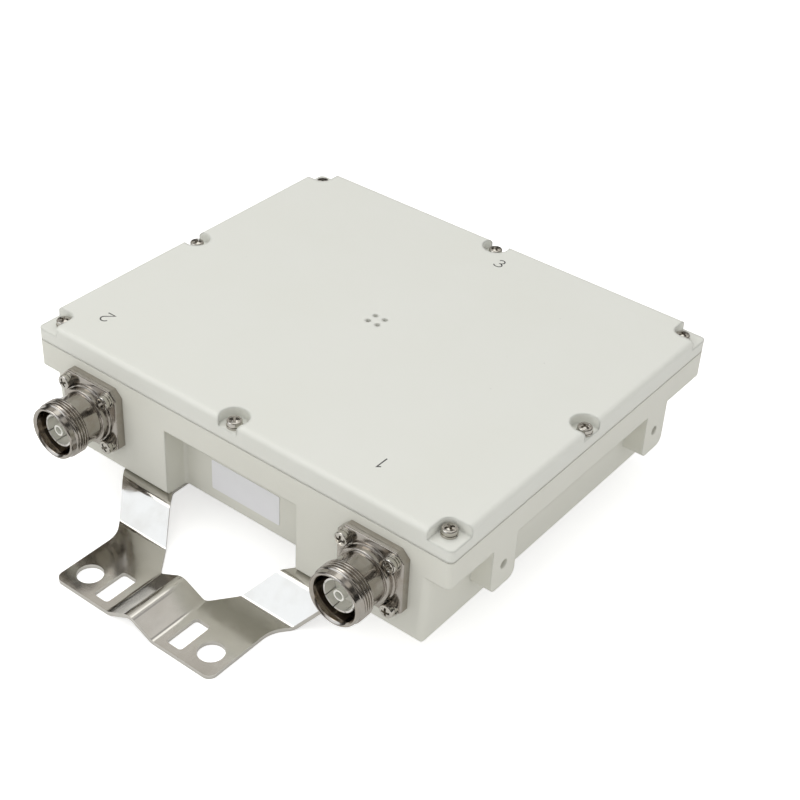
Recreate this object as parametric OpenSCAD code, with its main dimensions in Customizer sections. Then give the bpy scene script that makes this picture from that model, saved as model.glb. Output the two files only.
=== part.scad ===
// Cavity diplexer: a die-cast box with a screwed lid, ports 1 and 2 in front,
// the common port 3 behind, and a folded mounting bracket under each end.
// Millimetres. The origin is under the middle of the box, level with the
// underside of the brackets. Ports 1 and 2 face -Y and the lid faces +Z.

/* [Box] */
// Width of the rim and the lid
box_w = 176; // [170:1:200]
// Depth of the rim and the lid
box_d = 149; // [145:1:170]
// Upright corner radius of the rim and the lid
box_r = 2; // [1:0.5:4]
// Height of the body below the rim
body_h = 27.2; // [26:0.1:32]
// Height of the rim
rim_h = 10.4; // [10:0.1:14]
// Step between the rim and the lid along their joint
joint_step = 0.4; // [0.2:0.1:0.6]
// Set-in of the side walls under the rim
side_step = 7; // [5:0.5:8]
// Lean of each side wall down to the floor
side_draft = 1.3; // [0:0.1:2]
// Radius along the bottom edges
bottom_r = 1.5; // [1:0.5:3]
// Upright radius of the body's outer corners below the rim
end_r = 3; // [1:0.5:4]
// Width of the bay between the front blocks
bay_w = 57.4; // [50:0.2:62]
// Set-in of the bay's wall from the front blocks
bay_depth = 9.3; // [6:0.1:10]
// Upright radius in the bay's inner corners
bay_r = 1.5; // [0.5:0.5:3]
// Set-in of the rear wall from the rear block
rear_step = 8.5; // [6:0.1:10]
// Width of the rear block
rear_block_w = 52; // [40:1:70]
// Thickness of the walls round the cavities
wall_t = 6; // [5:0.1:7]
// Thickness of the floor
floor_t = 6; // [5.5:0.1:8]
// Width of the rim's top face at the sides
rim_side_t = 10; // [9.8:0.1:11]
// Width of the rim's top face at the ends
rim_end_t = 11.5; // [11.2:0.1:12]
// Inner corner radius of the rim
rim_r = 3.5; // [3:0.1:4]

/* [Side lugs] */
// Width of a lug
lug_w = 13; // [10:0.5:18]
// Distance between the two lugs of a side
lug_pitch = 90.6; // [70:0.2:100]
// Drop of a lug below the rim
lug_drop = 17.6; // [14:0.1:22]
// Radius of a lug's lower corners
lug_r = 3; // [1:0.5:4]
// Radius of the threaded hole in a lug
lug_hole_r = 1.65; // [1.2:0.05:2.1]
// Drop of the hole below the rim
lug_hole_drop = 8.9; // [7:0.1:10]
// Depth of the hole in a front lug
lug_front_hole_l = 9; // [6:0.5:10]
// Depth of the hole in a rear lug
lug_rear_hole_l = 10; // [6:0.5:10]

/* [Cavities] */
// Thickness of the webs between cavities
web_t = 4; // [3.5:0.1:5]
// Upright corner radius of a cavity
cell_r = 5; // [4.5:0.5:7]
// Width of a coupling window
iris_w = 15; // [10:0.5:20]
// Depth of a coupling window below the top of the webs
iris_h = 13; // [9:0.5:16]

/* [Lid] */
// Height of the lid
lid_h = 8; // [7.5:0.1:12]
// Thickness of the lid's top
lid_t = 3; // [2.5:0.1:3.2]
// Radius along the top edges
lid_roll_r = 1.8; // [1:0.1:2.5]
// Overlap of the lid inside the rim
lid_lip = 0.5; // [0.2:0.1:1]
// Height of the pocket floors above the joint
pocket_z = 4.3; // [3.8:0.1:4.8]
// Distance from a corner screw to the inner walls of its pocket
pocket_room = 3.2; // [3:0.1:3.6]
// Inner radius of a corner pocket
pocket_r = 3.5; // [2:0.5:3.5]
// Radius of a pocket half way along a side
mid_pocket_r = 5; // [4.5:0.1:5.5]
// Inset of the corner screws from the sides
corner_inset_x = 6; // [5.5:0.1:6.2]
// Inset of the corner screws from the ends
corner_inset_y = 6.5; // [6:0.1:6.8]
// Inset of the middle screws of the sides
mid_inset_x = 2.8; // [2.8:0.05:3]
// Inset of the middle screws of the ends
mid_inset_y = 3.3; // [3:0.1:3.8]
// Radius of a vent hole
vent_r = 0.95; // [0.6:0.05:1.2]
// Distance between vent holes
vent_pitch = 4.1; // [3:0.1:5]
// Middle of the vent holes, sideways
vent_x = -1.4; // [-20:0.2:20]
// Middle of the vent holes, lengthways
vent_y = 1.8; // [-20:0.2:20]
// Radius of the vent membrane
membrane_r = 7; // [5:0.5:10]
// Thickness of the vent membrane
membrane_t = 0.3; // [0.2:0.05:0.5]

/* [Lid seal] */
// Inset of the seal's middle line from the sides
seal_inset_x = 7.7; // [7.5:0.1:7.9]
// Inset of the seal's middle line from the ends
seal_inset_y = 9; // [8.8:0.1:9.2]
// Corner radius of the seal's middle line
seal_r = 6; // [5:0.5:7]
// Width of the seal
seal_w = 2; // [1.5:0.1:2.2]
// Room beside the seal in its groove
seal_room = 0.2; // [0.1:0.05:0.3]
// Depth of the groove
seal_h = 1.5; // [1:0.1:2]

/* [Tuning cover] */
// Thickness of the cover
cover_t = 3; // [2:0.1:4]
// Room between the cover and the rim
cover_room = 0.2; // [0.1:0.05:0.4]
// Inset of the outer cover screws from the rim's opening
cover_screw_inset = 3.15; // [3.1:0.05:3.4]

/* [Resonators] */
// Radius of a resonator post
post_r = 6; // [5:0.5:7]
// Height of a resonator post
post_h = 18; // [16:0.1:19]
// Radius of the bore in a post
post_bore_r = 4.2; // [3.5:0.1:4.6]
// Thickness of the foot of a post
post_foot_t = 3; // [2:0.1:4]
// Radius of the cap on a post
cap_r = 8; // [7:0.1:9]
// Thickness of the cap
cap_t = 1.5; // [1:0.1:2.5]

/* [Tuning screws] */
// Radius of the tuning and coupling screws
tuner_r = 2; // [1.5:0.1:2.5]
// Length of a tuning screw
tuner_l = 21; // [16:0.5:24]
// Length of a coupling screw
coupler_l = 14; // [10:0.5:18]
// Height of both above the cover
tuner_up = 5.3; // [4.5:0.1:6]
// Width of the driver slot
slot_w = 0.8; // [0.5:0.1:1]
// Depth of the driver slot
slot_h = 1; // [0.5:0.1:1.2]
// Width across the flats of a lock nut
nut_af = 7; // [6.5:0.1:8]
// Height of a lock nut
nut_h = 3.2; // [2:0.1:3.5]

/* [Ports] */
// Distance of ports 1 and 2 in from the side walls
port_edge = 20.3; // [18:0.1:24]
// Drop of the ports' axes below the lid's joint
port_drop = 16.35; // [15.5:0.05:17]
// Width of the square flange
flange_w = 25.4; // [24:0.1:27]
// Width of its cut corners
flange_cut = 2.9; // [2:0.1:3.2]
// Thickness of the flange
flange_t = 3.3; // [3:0.1:4.5]
// Distance between flange screws
flange_pitch = 18.28; // [17.8:0.02:19]
// Radius of the boss on the flange
boss_r = 10.6; // [10.5:0.1:11]
// Height of the boss
boss_h = 1; // [0.6:0.1:1.5]
// Radius cut from the boss round each screw
scallop_r = 3.2; // [3.1:0.05:3.5]
// Radius of the ring beyond the boss
ring_r = 10.1; // [9.9:0.05:10.1]
// Length of the ring
ring_l = 1; // [0.6:0.1:1.5]
// Radius of the collar
collar_r = 9.8; // [9.3:0.1:9.8]
// Length of the collar
collar_l = 1.3; // [0.8:0.1:2]
// Radius of the neck
neck_r = 9; // [8.8:0.1:9.2]
// Length of the neck
neck_l = 6.4; // [5:0.1:8]
// Outer radius of the coupling thread
thread_r = 10; // [9.6:0.1:10.4]
// Length of the coupling thread
thread_l = 4.3; // [4:0.1:8]
// Length of the relief beyond the thread
relief_l = 0.3; // [0.2:0.1:1]
// Radius of the relief
relief_r = 9.3; // [9:0.05:9.5]
// Radius of the shoulder beyond the relief
shoulder_r = 9.95; // [9.9:0.05:10]
// Length of the shoulder
shoulder_l = 0.6; // [0.4:0.1:1]
// Radius round the front of the shoulder
shoulder_round = 0.35; // [0.1:0.05:0.35]
// Radius of the nose
nose_r = 9.5; // [9.4:0.05:9.5]
// Length of the nose
nose_l = 1.7; // [1:0.1:4]
// Radius of the front lip
lip_r = 9.3; // [9.1:0.05:9.35]
// Length of the front lip
lip_l = 0.5; // [0.4:0.1:2]
// Chamfer round the ends of the thread
edge_c = 0.35; // [0.2:0.05:0.5]
// Radius round the front of the lip
lip_round = 0.3; // [0.1:0.05:0.3]
// Radius of the mouth
mouth_r = 8; // [7.8:0.1:8.2]
// Chamfer of the mouth
mouth_c = 0.7; // [0.4:0.1:0.8]
// Depth of the mouth
mouth_l = 11.4; // [9:0.1:13]

/* [Port inner parts] */
// Outer radius of the slotted outer contact
sleeve_r = 6; // [5.8:0.1:6.2]
// Wall of the outer contact
sleeve_t = 0.6; // [0.4:0.05:0.8]
// Distance of the contacts behind the lip
contact_back = 2.9; // [2:0.1:4]
// Depth of the contact and insulator in the wall
spigot_l = 3.2; // [2:0.1:4]
// Number of slots in the outer contact
sleeve_slots = 8; // [4:1:8]
// Turn of the slots about the port's axis
sleeve_turn = 27.5; // [0:0.5:44]
// Width of a slot
sleeve_slot_w = 0.35; // [0.2:0.05:0.5]
// Length of a slot
sleeve_slot_l = 5; // [3:0.5:7]
// Distance of the insulator's face behind the contacts
insulator_back = 4.6; // [3:0.1:6]
// Radius of the bore behind the insulator
feed_r = 4.9; // [4.2:0.1:5]
// Radius of the centre contact
pin_r = 2; // [1.9:0.05:2.4]
// Radius of the socket in the centre contact
socket_r = 1.4; // [1.2:0.05:1.6]
// Depth of the socket
socket_l = 8; // [5:0.5:10]
// Mean radius of the flange seal
flange_seal_r = 8.8; // [8.4:0.1:9.2]
// Width of the flange seal
flange_seal_w = 1.4; // [1:0.1:1.6]
// Thickness of the flange seal
flange_seal_t = 1; // [0.6:0.1:1.2]
// Radius of a probe rod
rod_r = 1; // [0.8:0.1:1.3]
// Length of a probe rod inside its contact
rod_grip = 3; // [2:0.1:4]
// Radius of a probe's disc
disc_r = 3.5; // [2.5:0.1:4]
// Thickness of a probe's disc
disc_t = 1; // [0.6:0.1:1.5]
// Distance between a disc and a resonator cap
probe_gap = 1.5; // [1:0.1:3]
// Length of the common probe's cross rod
cross_l = 16; // [12:0.5:17]

/* [Brackets] */
// Thickness of the sheet
sheet_t = 1.5; // [1.2:0.1:2]
// Inside radius of the folds
fold_r = 2; // [1:0.5:3]
// Rise from the plate to the tabs
bracket_rise = 9; // [8.5:0.1:14]
// Width of the plate
plate_w = 69; // [67:0.5:76]
// Distance of the plate's edge beyond the box
plate_out = 45.9; // [44:0.1:52]
// Corner radius of the plate
plate_r = 3; // [2:0.5:6]
// Where the legs leave the plate's sides
waist_out = 18.4; // [17:0.1:20]
// Radius between the plate's sides and the legs
waist_r = 11; // [6:0.5:12]
// Where the notch between the legs ends
notch_out = 22.3; // [21.5:0.1:23]
// Width of the notch's end
notch_w = 20.2; // [20:0.1:21]
// Radius of the notch's corners
notch_r = 3; // [1:0.5:4]
// Distance of the lower fold beyond the box
low_fold_out = 12.5; // [11:0.1:14]
// Distance of the upper fold beyond the box
high_fold_out = 2.5; // [1.5:0.1:3]
// Outer width over the two tabs
tabs_w = 100; // [97:0.5:104]
// Distance between the two tabs
tabs_gap = 58; // [56:0.5:60]
// Where the tabs' outer sides begin under the box
tab_outer_in = 0.5; // [0:0.1:2]
// Where the tabs' inner sides begin under the box
tab_inner_in = 2.9; // [1:0.1:4]
// Length of the tabs under the box
tab_l = 26.5; // [25:0.1:32]
// Corner radius of the tabs
tab_r = 4; // [2:0.5:5]
// Width of the raised ridge at its foot
ridge_w = 19; // [17:0.5:19]
// Height of the raised ridge
ridge_h = 4.8; // [3:0.1:6]
// Inside radius of the ridge's folds
ridge_r = 3.5; // [2:0.5:4]
// Radius of a clamp bolt hole
bolt_hole_r = 4.5; // [3.5:0.1:4.6]
// Distance between the clamp bolt holes
bolt_pitch = 54; // [53:0.1:56]
// Distance of the bolt holes in from the plate's edge
bolt_in = 8.5; // [7:0.1:10]
// Width of a band slot
band_w = 6.3; // [5:0.1:6.4]
// Length of a band slot
band_l = 13.5; // [10:0.1:15]
// Corner radius of a band slot
band_r = 1.2; // [0.5:0.1:2.4]
// Distance between the band slots
band_pitch = 32.6; // [32:0.1:33]
// Distance of the slots' middles in from the plate's edge
band_in = 9.5; // [9:0.1:11]
// Distance between the two screws of a tab
tab_screw_pitch = 11; // [10:0.1:11.4]
// Distance of the tab screws in from the end of the box
tab_screw_in = 18.5; // [17:0.1:20]
// Radius of the boss over a tab screw, on the cavity floor
tab_boss_r = 4; // [3.5:0.1:5]
// Height of that boss
tab_boss_h = 2; // [1:0.1:4]

/* [Label] */
// Width of the name label
label_w = 30; // [20:0.5:40]
// Height of the name label
label_h = 12; // [8:0.5:16]
// Corner radius of the name label
label_r = 0.6; // [0.3:0.1:2]
// Thickness of the name label
label_t = 0.2; // [0.1:0.05:0.4]
// Middle of the name label, sideways
label_x = -1.35; // [-5:0.05:5]
// Drop of its middle below the lid's joint
label_drop = 27.1; // [24:0.1:28]

/* [Fasteners] */
// Shank radius of the small screws
screw_r = 1.5; // [1.2:0.05:1.6]
// Head radius of the small screws
head_r = 2.75; // [2.4:0.05:2.9]
// Head height of the small screws
head_h = 2; // [1.6:0.1:2.4]
// Dome radius of the small heads
head_dome_r = 5; // [4.5:0.1:7]
// Length of the lid screws
lid_screw_l = 10; // [9:0.5:11]
// Length of the flange screws
flange_screw_l = 12; // [11:0.5:13]
// Length of the cover and post screws in the casting
grip_l = 4; // [3:0.1:4.5]
// Shank radius of the tab screws
tab_screw_r = 2; // [1.8:0.05:2.2]
// Length of the tab screws
tab_screw_l = 8; // [7.5:0.1:8.5]
// Head radius of the tab screws
tab_head_r = 4; // [3.5:0.1:4.2]
// Head height of the tab screws
tab_head_h = 2.6; // [2.2:0.1:3]
// Dome radius of the tab screws' heads
tab_dome_r = 7; // [6:0.1:9]
// Thickness of the small spring washers
spring_t = 0.75; // [0.6:0.05:0.9]
// Outer radius of the small spring washers
spring_r = 2.7; // [2.4:0.05:2.8]
// Width of the split in a spring washer
spring_split = 0.5; // [0.3:0.1:0.8]
// Thickness of the small flat washers
washer_t = 0.5; // [0.3:0.05:0.7]
// Outer radius of the small flat washers
washer_r = 2.95; // [2.9:0.05:3.05]
// Thickness of the tab spring washers
tab_spring_t = 1; // [0.8:0.05:1.2]
// Outer radius of the tab spring washers
tab_spring_r = 3.8; // [3.4:0.05:4]
// Thickness of the tab flat washers
tab_washer_t = 0.8; // [0.5:0.05:1]
// Outer radius of the tab flat washers
tab_washer_r = 4.5; // [4.2:0.05:4.6]

/* [Fits] */
// Room round a thread, a post or a tube in its hole
fit = 0.05; // [0.02:0.01:0.08]
// Room round a screw in a plain hole
room = 0.2; // [0.1:0.05:0.3]
// Depth left below the end of a screw
tip_room = 0.8; // [0.5:0.1:1]

/* [Hidden] */
// Sides of a full circle in the quick view
$fn = 48;
// Flats along each rounded corner of an outline
arc_steps = 8;
// Overrun of a cut past the face it opens
over = 1;

// Three rows in two banks, so a band's path starts at its own port and
// ends beside the common port.
rows = [0, 1, 2];
banks = [-1, 1];
last_row = len(rows) - 1;

// Levels
body_z = sheet_t + bracket_rise;
floor_z = body_z + floor_t;
rim_z = body_z + body_h;
joint_z = rim_z + rim_h;
cover_z = rim_z + cover_t;
pocket_floor_z = joint_z + pocket_z;
port_z = joint_z - port_drop;
tab_face_z = body_z - sheet_t;

// Half sizes of the box
half_w = box_w / 2;
half_d = box_d / 2;
wall_x = half_w - side_step;
bay_y = half_d - bay_depth;
rear_y = half_d - rear_step;
open_x = half_w - rim_side_t;
open_y = half_d - rim_end_t;

// Grid of cavities, outer and inner column in each bank
field_x = wall_x - wall_t;
field_front = -bay_y + wall_t;
field_rear = rear_y - wall_t;
cell_w = (field_x - web_t * 1.5) / 2;
cell_d = (field_rear - field_front - web_t * last_row) / len(rows);
inner_x = (web_t + cell_w) / 2;
outer_x = inner_x + web_t + cell_w;
web_x = (inner_x + outer_x) / 2;
row_y = [for (r = rows) field_front + cell_d / 2 + r * (cell_d + web_t)];
web_y = [for (r = [1:last_row]) (row_y[r - 1] + row_y[r]) / 2];
post_places = [for (r = rows, b = banks, x = [outer_x, inner_x]) [b * x, row_y[r]]];
side_irises = [for (r = rows, b = banks) [b * web_x, row_y[r]]];
row_irises = [for (r = [1:last_row], b = banks)
    [b * (r % 2 == 1 ? inner_x : outer_x), web_y[r - 1]]];
iris_places = concat(side_irises, row_irises);

// Cover screws stand on the webs and walls; port 3 takes the middle one's place
cover_x = open_x - cover_screw_inset;
cover_y = open_y - cover_screw_inset;
cover_screw_places = [
    for (x = [-cover_x, -web_x, 0, web_x, cover_x],
         y = concat([-cover_y], web_y, [cover_y]))
        if (!(x == 0 && y == cover_y)) [x, y]
];

// Lid screws
corner_x = half_w - corner_inset_x;
corner_y = half_d - corner_inset_y;
mid_x = half_w - mid_inset_x;
mid_y = half_d - mid_inset_y;
corner_places = [for (sx = [-1, 1], sy = [-1, 1]) [sx * corner_x, sy * corner_y]];
mid_places = [[mid_x, 0], [-mid_x, 0], [0, mid_y], [0, -mid_y]];
lid_screw_places = concat(corner_places, mid_places);
lid_head_z = pocket_floor_z + spring_t;
lid_hole_l = lid_screw_l - (lid_head_z - joint_z) + tip_room;

// Ports: across the box, away from its middle, turned about Z
port_x = wall_x - port_edge;
port_places = [[port_x, -half_d, 0], [-port_x, -half_d, 0], [0, half_d, 180]];
boss_z = flange_t + boss_h;
ring_z = boss_z + ring_l;
collar_z = ring_z + collar_l;
thread_z = collar_z + neck_l;
relief_z = thread_z + thread_l;
shoulder_z = relief_z + relief_l;
nose_z = shoulder_z + shoulder_l;
lip_z = nose_z + nose_l;
port_l = lip_z + lip_l;
contact_z = port_l - contact_back;
insulator_z = contact_z - insulator_back;
insulator_r = sleeve_r - sleeve_t - fit;
flange_head_z = flange_t + washer_t + spring_t;
flange_hole_l = flange_screw_l - flange_head_z + tip_room;
rod_z = rod_grip - spigot_l - fit;
input_l = row_y[0] - cap_r - probe_gap + half_d;
common_l = half_d - row_y[last_row];
wall_l = half_d + max(field_front, -field_rear);

// Bracket screws, in from the middle of a tab
tab_mid_x = (tabs_w + tabs_gap) / 4;
tab_screw_y = half_d - tab_screw_in;
tab_screw_places = [
    for (sx = [-1, 1], sy = [-1, 1], d = [-1, 1])
        [sx * (tab_mid_x + d * tab_screw_pitch / 2), sy * tab_screw_y]
];
tab_head_z = tab_face_z - tab_washer_t - tab_spring_t;
tab_hole_l = tab_screw_l - (body_z - tab_head_z) + tip_room;

port_parts = ["shell", "sleeve", "insulator", "contact", "seal", "probe"];
port_numbers = [1, 2, 3];
common_port = 3;
post_numbers = [for (i = [1:len(post_places)]) i];

// Outline helpers

function unit(v) = v / norm(v);

// Corner p of an outline turned into an arc of radius r, or left sharp at 0
function corner_arc(a, p, b, r) =
    r == 0 ? [p] :
    let (
        u = unit(a - p),
        v = unit(b - p),
        half = acos(u * v) / 2,
        c = p + unit(u + v) * r / sin(half),
        s = p + u * r / tan(half) - c,
        e = p + v * r / tan(half) - c,
        from = atan2(s.y, s.x),
        swing = atan2(cross(s, e), s * e)
    )
    [for (k = [0:arc_steps]) c + r * [
        cos(from + swing * k / arc_steps),
        sin(from + swing * k / arc_steps)
    ]];

// Closed outline with a radius for each corner
function rounded(p, radii) =
    let (n = len(p))
    [for (i = [0:n - 1])
        each corner_arc(p[(i + n - 1) % n], p[i], p[(i + 1) % n], radii[i])];

// Unit vector square to a line, on its left
function left_of(a, b) =
    let (u = unit(b - a))
    [-u.y, u.x];

// Line of a bent sheet's face, d to the left of the line p
function face_line(p, d) =
    let (n = len(p))
    [for (i = [0:n - 1])
        let (
            before = left_of(p[max(i - 1, 0)], p[max(i, 1)]),
            after = left_of(p[min(i, n - 2)], p[min(i + 1, n - 1)])
        )
        p[i] + (before + after) * d / (1 + before * after)];

// Radii of that face: folds towards it are tight, folds away from it wide
function face_radii(p, tight, wide) =
    let (n = len(p))
    [for (i = [0:n - 1])
        i == 0 || i == n - 1
            ? 0
            : cross(p[i] - p[i - 1], p[i + 1] - p[i]) > 0 ? tight : wide];

function reversed(list) = [for (i = [1:len(list)]) list[len(list) - i]];

// Section of a sheet that lies along the line p and is folded at its points
function folded_sheet(p, t, r) =
    rounded(
        concat(face_line(p, t), reversed(p)),
        concat(face_radii(p, r, r + t), reversed(face_radii(p, r + t, r)))
    );

// Shape helpers

module at_places(places, z) {
    for (p = places) {
        translate([p.x, p.y, z])
            children();
    }
}

module round_rect(w, d, r) {
    square([w - 2 * r, d], center = true);
    square([w, d - 2 * r], center = true);
    for (sx = [-1, 1], sy = [-1, 1]) {
        translate([sx * (w / 2 - r), sy * (d / 2 - r)])
            circle(r);
    }
}

// Section in XZ carried along Y, from y0 to y1
module along_y(y0, y1) {
    translate([0, y1, 0])
        rotate([90, 0, 0])
            linear_extrude(y1 - y0)
                children();
}

// Section in YZ carried along X, from x0 to x1
module along_x(x0, x1) {
    translate([x0, 0, 0])
        rotate([90, 0, 90])
            linear_extrude(x1 - x0)
                children();
}

module ring(r_out, r_in, h) {
    linear_extrude(h)
        difference() {
            circle(r_out);
            circle(r_in);
        }
}

// Pan-headed screw, its head standing on z 0 and its shank below
module pan_screw(shank_r, l, r, h, dome_r) {
    rotate_extrude() {
        intersection() {
            square([r, h]);
            translate([0, h - dome_r])
                circle(dome_r);
        }
        translate([0, -l])
            square([shank_r, l + h / 2]);
    }
}

module small_screw(l) {
    pan_screw(screw_r, l, head_r, head_h, head_dome_r);
}

module spring_washer(r_out, r_in, t) {
    difference() {
        ring(r_out, r_in, t);
        translate([(r_out + r_in) / 2, 0, t / 2])
            rotate([30, 0, 0])
                cube([r_out, spring_split, t * 3], center = true);
    }
}

// Slotted set screw, its top on z 0
module set_screw(l) {
    translate([0, 0, -l])
        difference() {
            cylinder(r = tuner_r, h = l);
            translate([0, 0, l])
                cube([tuner_r * 3, slot_w, slot_h * 2], center = true);
        }
}

// Lock nut standing on z 0, chamfered on top
module lock_nut() {
    corner = nut_af / sqrt(3);
    difference() {
        intersection() {
            cylinder(r = corner, h = nut_h, $fn = 6);
            cylinder(r1 = corner + nut_h, r2 = nut_af / 2, h = nut_h);
        }
        translate([0, 0, -over])
            cylinder(r = tuner_r + fit, h = nut_h + 2 * over);
    }
}

// Box

// Block with upright corner radii whose +X side leans in towards the floor
module leaning_block(x, y0, y1) {
    translate([x, (y0 + y1) / 2, rim_z])
        rotate([0, atan(side_draft / body_h), 0])
            translate([-2 * x, 0, -2 * body_h])
                linear_extrude(3 * body_h)
                    round_rect(4 * x, y1 - y0, end_r);
}

// Part of the body below the rim, with leaning sides and rounded edges
module body_block(x, y0, y1) {
    side = rounded(
        [[-x + side_draft, body_z], [x - side_draft, body_z], [x, rim_z], [-x, rim_z]],
        [bottom_r, bottom_r, 0, 0]
    );
    end = rounded(
        [[y0, body_z], [y1, body_z], [y1, rim_z], [y0, rim_z]],
        [bottom_r, bottom_r, 0, 0]
    );
    intersection() {
        along_y(y0, y1)
            polygon(side);
        along_x(-x, x)
            polygon(end);
        leaning_block(x, y0, y1);
        mirror([1, 0, 0])
            leaning_block(x, y0, y1);
    }
}

module bay_cut() {
    outline = rounded(
        [
            [-bay_w / 2, -half_d - over],
            [bay_w / 2, -half_d - over],
            [bay_w / 2, -bay_y],
            [-bay_w / 2, -bay_y]
        ],
        [0, 0, bay_r, bay_r]
    );
    translate([0, 0, body_z - over])
        linear_extrude(body_h + over)
            polygon(outline);
}

module rim_block() {
    translate([0, 0, rim_z])
        linear_extrude(rim_h - joint_step)
            round_rect(box_w, box_d, box_r);
    translate([0, 0, rim_z])
        linear_extrude(rim_h)
            round_rect(box_w - 2 * joint_step, box_d - 2 * joint_step, box_r - joint_step);
}

module side_lug() {
    outline = rounded(
        [
            [-lug_w / 2, rim_z + rim_h / 2],
            [-lug_w / 2, rim_z - lug_drop],
            [lug_w / 2, rim_z - lug_drop],
            [lug_w / 2, rim_z + rim_h / 2]
        ],
        [0, lug_r, lug_r, 0]
    );
    along_x(field_x + wall_t / 2 - side_draft, half_w)
        polygon(outline);
}

module lug_hole(depth) {
    translate([half_w - depth, 0, rim_z - lug_hole_drop])
        rotate([0, 90, 0])
            cylinder(r = lug_hole_r, h = depth + over);
}

module at_lugs(ends) {
    for (side = [0, 1], y = ends) {
        mirror([side, 0, 0])
            translate([0, y * lug_pitch / 2, 0])
                children();
    }
}

module cavities() {
    translate([0, 0, floor_z])
        linear_extrude(body_h)
            for (p = post_places) {
                translate(p)
                    round_rect(cell_w, cell_d, cell_r);
            }
    translate([0, 0, rim_z - iris_h])
        linear_extrude(iris_h + over) {
            for (p = side_irises) {
                translate(p)
                    square([web_t + 2 * over, iris_w], center = true);
            }
            for (p = row_irises) {
                translate(p)
                    square([iris_w, web_t + 2 * over], center = true);
            }
        }
    junction();
}

// Room shared by the last cavity of both banks, ahead of the common port
module junction() {
    w = web_t + 2 * cell_r;
    front = row_y[last_row] - cell_r;
    translate([-w / 2, front, rim_z - iris_h])
        cube([w, field_rear - front, iris_h + over]);
}

module rim_opening() {
    translate([0, 0, rim_z])
        linear_extrude(rim_h + over)
            round_rect(2 * open_x, 2 * open_y, rim_r);
}

// Closed band of width w along the seal's middle line
module seal_band(w) {
    x = box_w - 2 * seal_inset_x;
    y = box_d - 2 * seal_inset_y;
    difference() {
        round_rect(x + w, y + w, seal_r + w / 2);
        round_rect(x - w, y - w, seal_r - w / 2);
    }
}

module port_bore() {
    translate([0, 0, -spigot_l])
        cylinder(r = sleeve_r + fit, h = spigot_l + over);
    translate([0, 0, -wall_l - over])
        cylinder(r = feed_r, h = wall_l + 2 * over);
    at_places(flange_screw_places(), -flange_hole_l)
        cylinder(r = screw_r + fit, h = flange_hole_l + over);
}

// Body with its cavities, before the screw holes
module casting() {
    difference() {
        union() {
            difference() {
                body_block(wall_x, -half_d, rear_y);
                bay_cut();
            }
            body_block(rear_block_w / 2, field_rear, half_d);
            rim_block();
            at_lugs([-1, 1])
                side_lug();
        }
        rim_opening();
        cavities();
    }
    at_places(tab_screw_places, body_z + tab_boss_h)
        cylinder(r = tab_boss_r, h = floor_t);
}

module housing() {
    color("gainsboro")
    difference() {
        casting();
        translate([0, 0, joint_z - seal_h])
            linear_extrude(seal_h + over)
                seal_band(seal_w + 2 * seal_room);
        at_lugs([-1])
            lug_hole(lug_front_hole_l);
        at_lugs([1])
            lug_hole(lug_rear_hole_l);
        for (i = port_numbers) {
            at_port(i)
                port_bore();
        }
        at_places(lid_screw_places, joint_z - lid_hole_l)
            cylinder(r = screw_r + fit, h = lid_hole_l + over);
        at_places(cover_screw_places, rim_z - grip_l - tip_room)
            cylinder(r = screw_r + fit, h = grip_l + tip_room + over);
        at_places(post_places, floor_z - grip_l - tip_room)
            cylinder(r = screw_r + fit, h = grip_l + tip_room + over);
        at_places(tab_screw_places, body_z - over)
            cylinder(r = tab_screw_r + fit, h = tab_hole_l + over);
    }
}

// Lid

// Corner piece cut away along a top edge of length l, the edge lying along X
module edge_roll_cut(l) {
    along_x(-l / 2, l / 2)
        difference() {
            translate([-lid_roll_r, -lid_roll_r])
                square(lid_roll_r + over);
            translate([-lid_roll_r, -lid_roll_r])
                circle(lid_roll_r);
        }
}

module lid_pockets() {
    for (sx = [-1, 1], sy = [-1, 1]) {
        translate([sx * half_w, sy * half_d, pocket_floor_z])
            linear_extrude(lid_h)
                round_rect(
                    2 * (corner_inset_x + pocket_room),
                    2 * (corner_inset_y + pocket_room),
                    pocket_r
                );
    }
    at_places(mid_places, pocket_floor_z)
        cylinder(r = mid_pocket_r, h = lid_h);
}

module lid() {
    color("white")
    difference() {
        translate([0, 0, joint_z])
            linear_extrude(lid_h)
                round_rect(box_w, box_d, box_r);
        translate([0, 0, joint_z - over])
            linear_extrude(lid_h - lid_t + over)
                round_rect(2 * (open_x - lid_lip), 2 * (open_y - lid_lip), rim_r - lid_lip);
        for (turn = [0, 180]) {
            rotate([0, 0, turn])
                translate([0, half_d, joint_z + lid_h])
                    edge_roll_cut(box_w + 2 * over);
            rotate([0, 0, turn - 90])
                translate([0, half_w, joint_z + lid_h])
                    edge_roll_cut(box_d + 2 * over);
        }
        lid_pockets();
        at_places(lid_screw_places, joint_z - over)
            cylinder(r = screw_r + room, h = lid_h + 2 * over);
        at_places(vent_places(), joint_z)
            cylinder(r = vent_r, h = lid_h + over);
    }
}

function vent_places() =
    [for (sx = [-1, 1], sy = [-1, 1]) [vent_x, vent_y] + [sx, sy] * vent_pitch / 2];

module vent_membrane() {
    color("whitesmoke")
    translate([vent_x, vent_y, joint_z + lid_h - lid_t - membrane_t])
        cylinder(r = membrane_r, h = membrane_t);
}

module lid_seal() {
    color("dimgray")
    translate([0, 0, joint_z - seal_h])
        linear_extrude(seal_h)
            seal_band(seal_w);
}

module lid_screws() {
    color("silver")
    at_places(lid_screw_places, lid_head_z)
        small_screw(lid_screw_l);
}

module lid_washers() {
    color("gray")
    at_places(lid_screw_places, pocket_floor_z)
        spring_washer(spring_r, screw_r + room, spring_t);
}

module label() {
    color("lightsteelblue")
    translate([label_x, 0, joint_z - label_drop])
        along_y(-bay_y - label_t, -bay_y)
            round_rect(label_w, label_h, label_r);
}

// Tuning parts under the lid

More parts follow.
